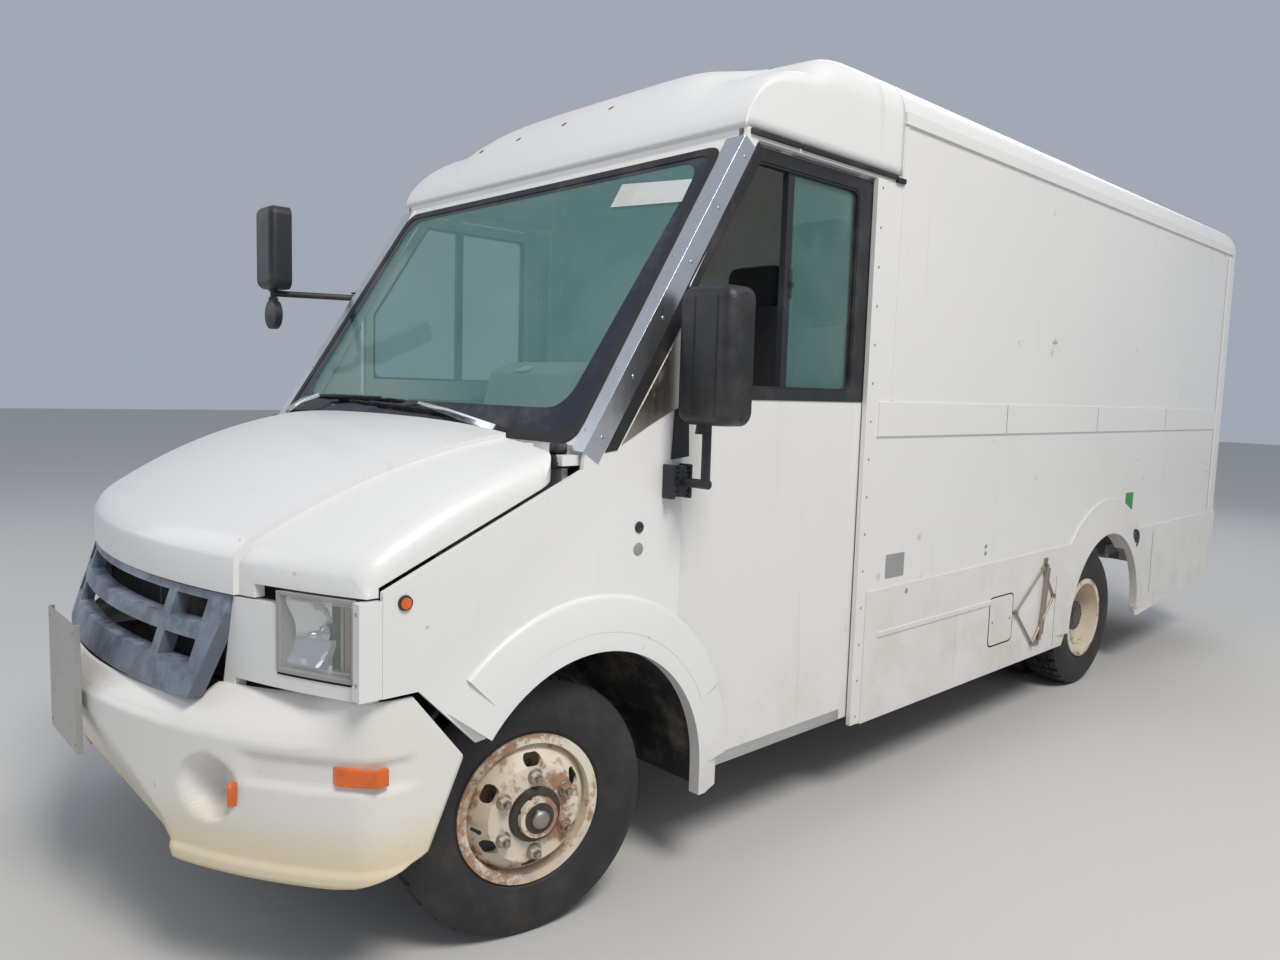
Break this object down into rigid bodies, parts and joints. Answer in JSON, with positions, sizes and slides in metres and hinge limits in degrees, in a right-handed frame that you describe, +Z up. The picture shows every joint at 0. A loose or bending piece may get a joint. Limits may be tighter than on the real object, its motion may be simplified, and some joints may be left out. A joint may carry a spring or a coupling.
{
  "type": "step van",
  "caption": "Walk-in delivery van with a boxy aluminium body, short sloping hood, sliding cab doors, steered front wheels and dual rear wheels.",
  "frame": {"origin": "on the ground, midway between the front and rear ends and the two mirrors", "axes": "+Z up, -Y is the front of the van, +X is the driver's side"},
  "size_m": [2.66, 7.062, 2.8619],
  "materials": {
    "white_paint": "weathered gloss white",
    "white_fibreglass": "chalky white gelcoat",
    "chassis_black": "dusty black",
    "cast_iron": "oily casting",
    "steel": "weathered steel",
    "tyre_rubber": "worn tread",
    "wheel_cream": "rusty cream paint",
    "grey_plastic": "sun faded grey",
    "black_plastic": "grained black",
    "clear_glass": "tinted",
    "lamp_lens": "hazy lens",
    "amber_lens": "amber lens",
    "seat_fabric": "black cloth",
    "cab_trim": "beige trim",
    "wood_floor": "worn ply",
    "liner_plastic": "dusty black"
  },
  "bodies": {
    "van_body": {"bulkhead": "white_paint", "cab_floor": "wood_floor", "cab_roof": "white_fibreglass", "cargo_floor": "wood_floor", "cargo_roof": "white_fibreglass", "cargo_walls": "white_paint", "chassis_frame": "chassis_black", "cowl": "white_fibreglass", "dashboard": "cab_trim", "drive_shaft": "chassis_black", "driver_seat": "seat_fabric", "engine_block": "cast_iron", "engine_cover": "cab_trim", "exhaust": "steel", "fenders": "white_fibreglass", "front_axle": "chassis_black", "front_bumper": "white_fibreglass", "fuel_tank": "steel", "grille": "grey_plastic", "headlights": "lamp_lens", "leaf_springs": "chassis_black", "marker_lamps": "amber_lens", "mirrors": "black_plastic", "nose_panel": "white_fibreglass", "plate_holder": "steel", "rear_axle": "chassis_black", "rear_bumper": "steel", "rear_frame": "white_paint", "seat_base": "black_plastic", "skirts": "white_paint", "steering_wheel": "black_plastic", "wheel_liners": "liner_plastic", "windscreen": "clear_glass", "windscreen_frame": "white_paint", "wipers": "black_plastic"},
    "left_knuckle": {"knuckle_left": "chassis_black"},
    "right_knuckle": {"knuckle_right": "chassis_black"},
    "tie_rod": {"tie_rod": "chassis_black"},
    "front_left_wheel": {"front_tyre_left": "tyre_rubber", "front_rim_left": "wheel_cream"},
    "front_right_wheel": {"front_tyre_right": "tyre_rubber", "front_rim_right": "wheel_cream"},
    "rear_left_wheels": {"rear_tyres_left": "tyre_rubber", "rear_rims_left": "wheel_cream"},
    "rear_right_wheels": {"rear_tyres_right": "tyre_rubber", "rear_rims_right": "wheel_cream"},
    "left_cab_door": {"sliding_door_left": "white_paint", "door_glass_left": "clear_glass"},
    "right_cab_door": {"sliding_door_right": "white_paint", "door_glass_right": "clear_glass"},
    "left_rear_door": {"rear_door_left": "white_paint", "rear_glass_left": "clear_glass"},
    "right_rear_door": {"rear_door_right": "white_paint", "rear_glass_right": "clear_glass"},
    "hood": {"hood": "white_fibreglass"}
  },
  "joints": [
    {"name": "left_steer", "type": "hinge", "parent": "van_body", "child": "left_knuckle", "pos_m": [0.74, -2.519, 0.386], "axis": [0, 0, 1], "range_deg": [-22, 44]},
    {"name": "right_steer", "type": "hinge", "parent": "van_body", "child": "right_knuckle", "pos_m": [-0.74, -2.519, 0.386], "axis": [0, 0, 1], "range_deg": [-22, 44]},
    {"name": "tie_rod_pivot", "type": "hinge", "parent": "left_knuckle", "child": "tie_rod", "pos_m": [0.77244, -2.35212, 0.288], "axis": [0, 0, 1], "range_deg": [-44, 22]},
    {"name": "front_left_spin", "type": "hinge", "parent": "left_knuckle", "child": "front_left_wheel", "pos_m": [0.88037, -2.54629, 0.386], "axis": [0.9816, -0.1908, 0], "continuous": true},
    {"name": "front_right_spin", "type": "hinge", "parent": "right_knuckle", "child": "front_right_wheel", "pos_m": [-0.88037, -2.49171, 0.386], "axis": [0.9816, -0.1908, 0], "continuous": true},
    {"name": "rear_left_spin", "type": "hinge", "parent": "van_body", "child": "rear_left_wheels", "pos_m": [0.783, 1.316, 0.386], "axis": [1, 0, 0], "continuous": true},
    {"name": "rear_right_spin", "type": "hinge", "parent": "van_body", "child": "rear_right_wheels", "pos_m": [-0.783, 1.316, 0.386], "axis": [1, 0, 0], "continuous": true},
    {"name": "left_cab_door_slide", "type": "slide", "parent": "van_body", "child": "left_cab_door", "axis": [0, 1, 0], "range_m": [0, 0.93]},
    {"name": "right_cab_door_slide", "type": "slide", "parent": "van_body", "child": "right_cab_door", "axis": [0, 1, 0], "range_m": [0, 0.93]},
    {"name": "left_rear_door_swing", "type": "hinge", "parent": "van_body", "child": "left_rear_door", "pos_m": [0.902, 3.357, 1.65], "axis": [0, 0, -1], "range_deg": [0, 180]},
    {"name": "right_rear_door_swing", "type": "hinge", "parent": "van_body", "child": "right_rear_door", "pos_m": [-0.902, 3.357, 1.65], "axis": [0, 0, 1], "range_deg": [0, 180]},
    {"name": "hood_lift", "type": "hinge", "parent": "van_body", "child": "hood", "pos_m": [0, -2.531, 1.495], "axis": [-1, 0, 0], "range_deg": [0, 55]}
  ],
  "couplings": [
    {"joint": "right_steer", "follows": "left_steer", "ratio": 1},
    {"joint": "tie_rod_pivot", "follows": "left_steer", "ratio": -1}
  ]
}
